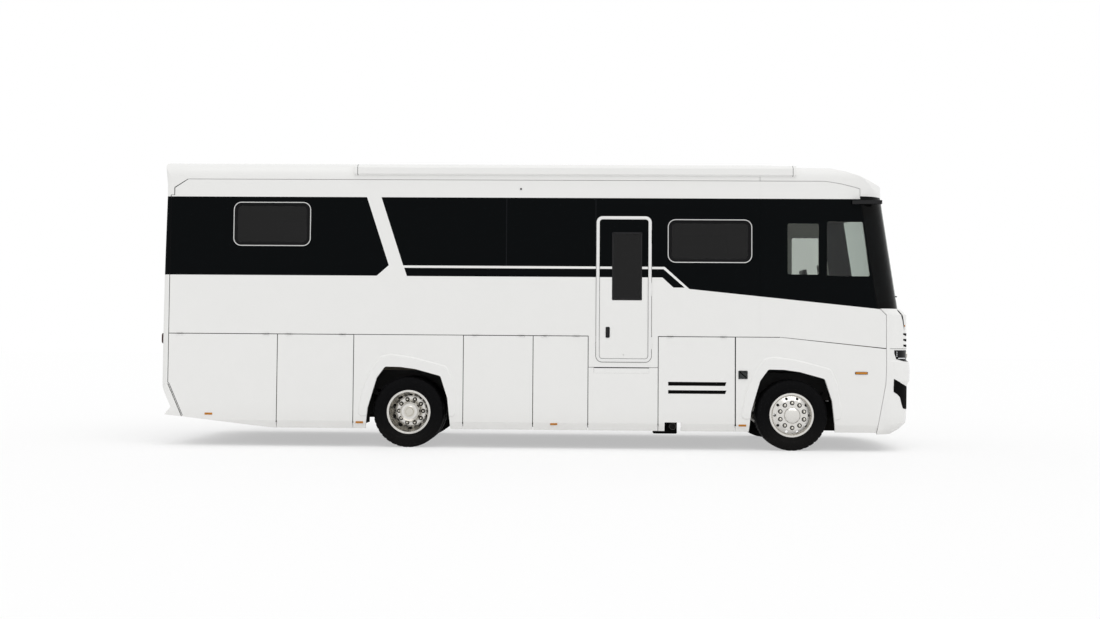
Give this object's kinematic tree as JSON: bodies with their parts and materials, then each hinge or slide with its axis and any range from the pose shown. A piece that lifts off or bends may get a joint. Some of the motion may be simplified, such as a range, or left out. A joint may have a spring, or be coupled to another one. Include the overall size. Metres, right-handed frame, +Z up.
{
  "type": "motorhome",
  "caption": "Large integrated motorhome on a truck chassis with twin rear wheels, entry door, sliding step, hinged locker flaps and steered front wheels.",
  "frame": {"origin": "on the ground under the middle of the vehicle's overall length and width", "axes": "+X forward, +Y to the vehicle's left, +Z up"},
  "size_m": [10.3898, 2.68, 3.9652],
  "materials": {
    "tyre": "near-black rubber with plain sidewalls",
    "alloy": "polished",
    "body_paint": "very light warm grey-white gloss",
    "chassis_paint": "satin black",
    "cast": "dark cast",
    "black_plastic": "textured black",
    "gloss_black": "gloss black",
    "glass": "tinted",
    "floor": "sealed sandwich board",
    "seat_leather": "soft dark",
    "awning_shell": "off-white anodised",
    "lamp": "clear over red and white"
  },
  "bodies": {
    "body": {"awning": "awning_shell", "cab_side_left": "body_paint", "cab_side_right": "body_paint", "cabin_floor": "floor", "chassis_frame": "chassis_paint", "dashboard": "black_plastic", "engine": "cast", "exhaust": "chassis_paint", "front_arch_panels": "body_paint", "front_axle": "cast", "front_bumper": "body_paint", "front_carrier": "chassis_paint", "front_mask": "body_paint", "grille": "black_plastic", "headlamps": "lamp", "hinge_pins": "chassis_paint", "lockers_left": "black_plastic", "lockers_right": "black_plastic", "mirror_arms": "gloss_black", "rear_arch_panels": "body_paint", "rear_axle": "cast", "rear_bumper": "body_paint", "rear_mask": "body_paint", "roof": "body_paint", "roof_cap": "body_paint", "roof_hatches": "gloss_black", "seats": "seat_leather", "side_windows": "glass", "skirt_panels": "body_paint", "springs": "chassis_paint", "tail_lamps": "lamp", "wall_left": "body_paint", "wall_right": "body_paint", "wheel_housings": "black_plastic", "windscreen": "glass"},
    "wheel_front_left": {"tyre_front_left": "tyre", "rim_front_left": "alloy"},
    "wheel_front_right": {"tyre_front_right": "tyre", "rim_front_right": "alloy"},
    "wheel_rear_left": {"tyre_rear_left": "tyre", "rim_rear_left": "alloy"},
    "wheel_rear_right": {"tyre_rear_right": "tyre", "rim_rear_right": "alloy"},
    "steering_left": {"knuckle_left": "cast"},
    "steering_right": {"knuckle_right": "cast"},
    "steering_link": {"track_rod": "cast"},
    "door": {"entry_door": "body_paint", "door_window": "glass"},
    "step": {"entry_step": "black_plastic"},
    "flap_left_1": {"flap_left_1": "body_paint"},
    "flap_left_2": {"flap_left_2": "body_paint"},
    "flap_left_3": {"flap_left_3": "body_paint"},
    "flap_right_1": {"flap_right_1": "body_paint"},
    "flap_right_2": {"flap_right_2": "body_paint"},
    "flap_right_3": {"flap_right_3": "body_paint"},
    "flap_right_4": {"flap_right_4": "body_paint"},
    "flap_right_5": {"flap_right_5": "body_paint"}
  },
  "joints": [
    {"name": "steer_left", "type": "hinge", "parent": "body", "child": "steering_left", "pos_m": [3.435, 0.9, 0.48], "axis": [0, 0, 1], "range_deg": [-38, 38]},
    {"name": "steer_right", "type": "hinge", "parent": "body", "child": "steering_right", "pos_m": [3.435, -0.9, 0.48], "axis": [0, 0, 1], "range_deg": [-38, 38]},
    {"name": "track_rod_pivot", "type": "hinge", "parent": "steering_left", "child": "steering_link", "pos_m": [3.235, 0.9, 0.361], "axis": [0, 0, 1], "range_deg": [-38, 38]},
    {"name": "spin_front_left", "type": "hinge", "parent": "steering_left", "child": "wheel_front_left", "pos_m": [3.435, 1.087, 0.48], "axis": [0, 1, 0], "continuous": true},
    {"name": "spin_front_right", "type": "hinge", "parent": "steering_right", "child": "wheel_front_right", "pos_m": [3.435, -1.087, 0.48], "axis": [0, 1, 0], "continuous": true},
    {"name": "spin_rear_left", "type": "hinge", "parent": "body", "child": "wheel_rear_left", "pos_m": [-1.765, 0.932, 0.48], "axis": [0, 1, 0], "continuous": true},
    {"name": "spin_rear_right", "type": "hinge", "parent": "body", "child": "wheel_rear_right", "pos_m": [-1.765, -0.932, 0.48], "axis": [0, 1, 0], "continuous": true},
    {"name": "door_hinge", "type": "hinge", "parent": "body", "child": "door", "pos_m": [1.535, -1.255, 2.17], "axis": [0, 0, -1], "range_deg": [-100, 0]},
    {"name": "step_slide", "type": "slide", "parent": "body", "child": "step", "axis": [0, -1, 0], "range_m": [0, 0.3]},
    {"name": "flap_left_1_hinge", "type": "hinge", "parent": "body", "child": "flap_left_1", "pos_m": [-4.315, 1.255, 1.532], "axis": [1, 0, 0], "range_deg": [0, 88]},
    {"name": "flap_left_2_hinge", "type": "hinge", "parent": "body", "child": "flap_left_2", "pos_m": [-0.165, 1.255, 1.532], "axis": [1, 0, 0], "range_deg": [0, 88]},
    {"name": "flap_left_3_hinge", "type": "hinge", "parent": "body", "child": "flap_left_3", "pos_m": [2.147, 1.255, 1.532], "axis": [1, 0, 0], "range_deg": [0, 88]},
    {"name": "flap_right_1_hinge", "type": "hinge", "parent": "body", "child": "flap_right_1", "pos_m": [-4.315, -1.255, 1.532], "axis": [-1, 0, 0], "range_deg": [0, 88]},
    {"name": "flap_right_2_hinge", "type": "hinge", "parent": "body", "child": "flap_right_2", "pos_m": [-3.042, -1.255, 1.532], "axis": [-1, 0, 0], "range_deg": [0, 88]},
    {"name": "flap_right_3_hinge", "type": "hinge", "parent": "body", "child": "flap_right_3", "pos_m": [-0.545, -1.255, 1.532], "axis": [-1, 0, 0], "range_deg": [0, 88]},
    {"name": "flap_right_4_hinge", "type": "hinge", "parent": "body", "child": "flap_right_4", "pos_m": [0.304, -1.255, 1.532], "axis": [-1, 0, 0], "range_deg": [0, 88]},
    {"name": "flap_right_5_hinge", "type": "hinge", "parent": "body", "child": "flap_right_5", "pos_m": [2.147, -1.255, 1.532], "axis": [-1, 0, 0], "range_deg": [0, 88]}
  ],
  "couplings": [
    {"joint": "steer_right", "follows": "steer_left", "ratio": 1},
    {"joint": "track_rod_pivot", "follows": "steer_left", "ratio": -1}
  ]
}
